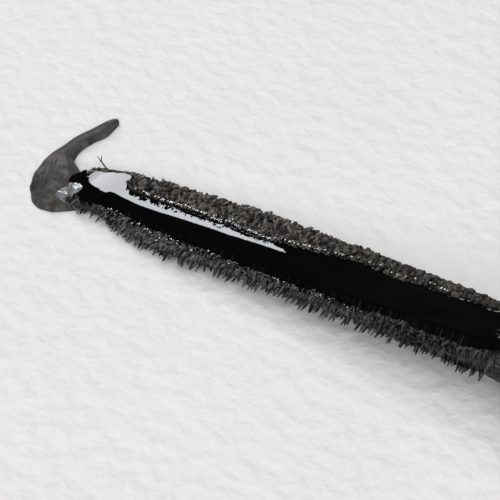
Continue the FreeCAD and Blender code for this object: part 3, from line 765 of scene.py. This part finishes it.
def stray_hairs(material):
    """A stray hair with a fork at the far side of the tip, and more round the ferrule's mouth."""
    stem = (25.5, 1.35, 0.75), (26.2, 1.25, 0.8), (26.75, 1.5, 0.85), (27.2, 1.75, 0.8)
    fork = (26.7, 1.47, 0.85), (26.85, 1.65, 0.95), (26.9, 1.8, 1.0)
    strands = [(stem, (0.05, 0.045, 0.035, 0.012), 0.2), (fork, (0.03, 0.025, 0.01), 0.2)]
    for _ in range(MOUTH_HAIRS):
        angle = RNG.uniform(0, 2 * math.pi)
        points = []
        for forward in (0.9, 1.4, 2.0, 2.7):
            radius = MOUTH_HAIRS_RADIUS + (0.12 if forward < 2.5 else 0.06)
            height = curve(HEIGHT, forward)
            points.append((forward, radius * math.cos(angle), height + radius * math.sin(angle)))
        strands.append((points, [0.03, 0.04, 0.04, 0.012], RNG.random()))
    return hairs("tuft_stray_hairs", strands, material)


def tuft(materials):
    """All the tuft's pieces. They stand for its CAD solid, which the hair mat replaces."""
    near_hair = damp_hair("fringe_near", (0.010, 0.0095, 0.009), (0.19, 0.182, 0.174), 0.72)
    far_hair = damp_hair("fringe_far", (0.016, 0.0145, 0.0125), (0.20, 0.182, 0.158), 0.72)
    lock = damp_hair("hook_hair", (0.026, 0.024, 0.022), (0.17, 0.162, 0.158), 0.6, patches=1.2)
    ink, thick_ink = wet_ink("wet_ink", 1.4), wet_ink("thick_ink", 1.75)
    pieces = [
        hair_mat(materials["tuft_hair"]),
        ink_skin(ink),
        fringe_hair(1, far_hair),
        fringe_hair(-1, near_hair),
        wet_edges(thick_ink),
        hook(lock),
        hook_locks(lock),
        smear(soaked_skin()),
        dragged_locks(near_hair),
        stray_hairs(near_hair),
    ]
    for piece in pieces:
        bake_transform(piece)
    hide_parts("tuft")
    return pieces


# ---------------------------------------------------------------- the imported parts

def dress_parts(materials):
    """Gives each CAD node the finish of its material slot."""
    slots = {row["node"]: row["material_slot"] for row in frame["record"]["subparts"]}
    for name, node in frame["nodes"].items():
        node.data.materials.clear()
        node.data.materials.append(materials[slots[name]])


# ---------------------------------------------------------------- floor, light and camera

AZIMUTH, ELEVATION = math.radians(34), math.radians(46)
TARGET = Vector(place([(16.4, -0.07, 1.6)])[0])
CAMERA_DISTANCE, FRAME_WIDTH = 90 * MM, 24.4 * MM  # the width is what the camera sees at its target
SENSOR_WIDTH = 36  # in millimetres, as Blender measures a camera's sensor and lens
FLOOR_REACH = 6
OVERHEAD = (0.02, -0.08, 1.0)
WINDOW_TINT = (0.92, 0.95, 1)


def floor():
    """A wide square sheet of paper under the pen."""
    mesh = bpy.data.meshes.new("floor")
    corners = [(x * FLOOR_REACH, y * FLOOR_REACH, 0) for x, y in ((-1, -1), (1, -1), (1, 1), (-1, 1))]
    mesh.from_pydata(corners, [], [(0, 1, 2, 3)])
    mesh.materials.append(paper())
    sheet = bpy.data.objects.new("floor", mesh)
    bpy.context.scene.collection.objects.link(sheet)


def from_bearing(azimuth, elevation, distance):
    """The point at that distance from the camera's target. The azimuth runs from +X towards +Y, in
    degrees."""
    turn, rise = math.radians(azimuth), math.radians(elevation)
    way = Vector((math.cos(turn) * math.cos(rise), math.sin(turn) * math.cos(rise), math.sin(rise)))
    return TARGET + way * distance


def softbox(name, spot, aim, size, radiance, glossy=True, diffuse=True, tint=(1, 1, 1), only=()):
    """A rectangular lamp of that radiance at spot, facing aim, that the camera doesn't see. It lights
    only the pieces in only, if there are any."""
    lamp = bpy.data.lights.new(name, "AREA")
    lamp.shape, lamp.size, lamp.size_y = "RECTANGLE", size[0], size[1]
    lamp.energy = radiance * math.pi * size[0] * size[1]
    lamp.color = tint
    box = bpy.data.objects.new(name, lamp)
    box.location = spot
    box.rotation_mode = "QUATERNION"
    box.rotation_quaternion = (Vector(aim) - Vector(spot)).to_track_quat("-Z", "Y")
    box.visible_camera = False
    box.visible_glossy = glossy
    box.visible_diffuse = diffuse
    bpy.context.scene.collection.objects.link(box)
    if only:
        lit = bpy.data.collections.new(name + "_lights")
        for piece in only:
            lit.objects.link(piece)
        box.light_linking.receiver_collection = lit


def lights(pieces):
    """Soft boxes for everything, one window that only the tuft's pieces mirror, and three more that only
    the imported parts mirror."""
    world = bpy.data.worlds.new("studio")
    world.use_nodes = True
    background = world.node_tree.nodes["Background"]
    background.inputs["Color"].default_value = (1, 1, 1, 1)
    background.inputs["Strength"].default_value = 0.04
    bpy.context.scene.world = world
    origin = (0, 0, 0)
    softbox("overhead", OVERHEAD, origin, (1.3, 1.3), 0.6, glossy=False)
    softbox("camera_side", from_bearing(-56, 46, 1.0), TARGET, (0.8, 0.8), 4.0, glossy=False)
    softbox("tip_side", from_bearing(172, 40, 0.35), TARGET, (0.25, 0.25), 2.4, glossy=False)
    softbox("window", from_bearing(123, 18, 0.3), TARGET, (0.135, 0.10), 9.3, diffuse=False,
            tint=WINDOW_TINT, only=pieces)
    body = list(frame["nodes"].values())
    softbox("body_top", OVERHEAD, origin, (1.3, 0.7), 1.2, diffuse=False, only=body)
    softbox("body_back", (-0.2, 0.9, 0.7), origin, (1.2, 0.3), 2.2, diffuse=False, only=body)
    softbox("body_front", (0.3, -1.0, 0.35), origin, (1.2, 0.2), 1.8, diffuse=False, only=body)


def camera():
    """The camera of the main view, AZIMUTH round from -Y and ELEVATION up from the table."""
    lens = bpy.data.cameras.new("camera")
    lens.sensor_width = SENSOR_WIDTH
    lens.lens = SENSOR_WIDTH * CAMERA_DISTANCE / FRAME_WIDTH
    lens.clip_start, lens.clip_end = 1 * MM, 20
    eye = bpy.data.objects.new("camera", lens)
    back = Vector((
        math.sin(AZIMUTH) * math.cos(ELEVATION),
        -math.cos(AZIMUTH) * math.cos(ELEVATION),
        math.sin(ELEVATION),
    ))
    eye.location = TARGET + back * CAMERA_DISTANCE
    eye.rotation_mode = "QUATERNION"
    eye.rotation_quaternion = (-back).to_track_quat("-Z", "Y")
    bpy.context.scene.collection.objects.link(eye)
    bpy.context.scene.camera = eye


materials = part_materials()
dress_parts(materials)
tuft_pieces = tuft(materials)
floor()
lights(tuft_pieces)
camera()
bpy.context.scene.view_settings.view_transform = "Standard"
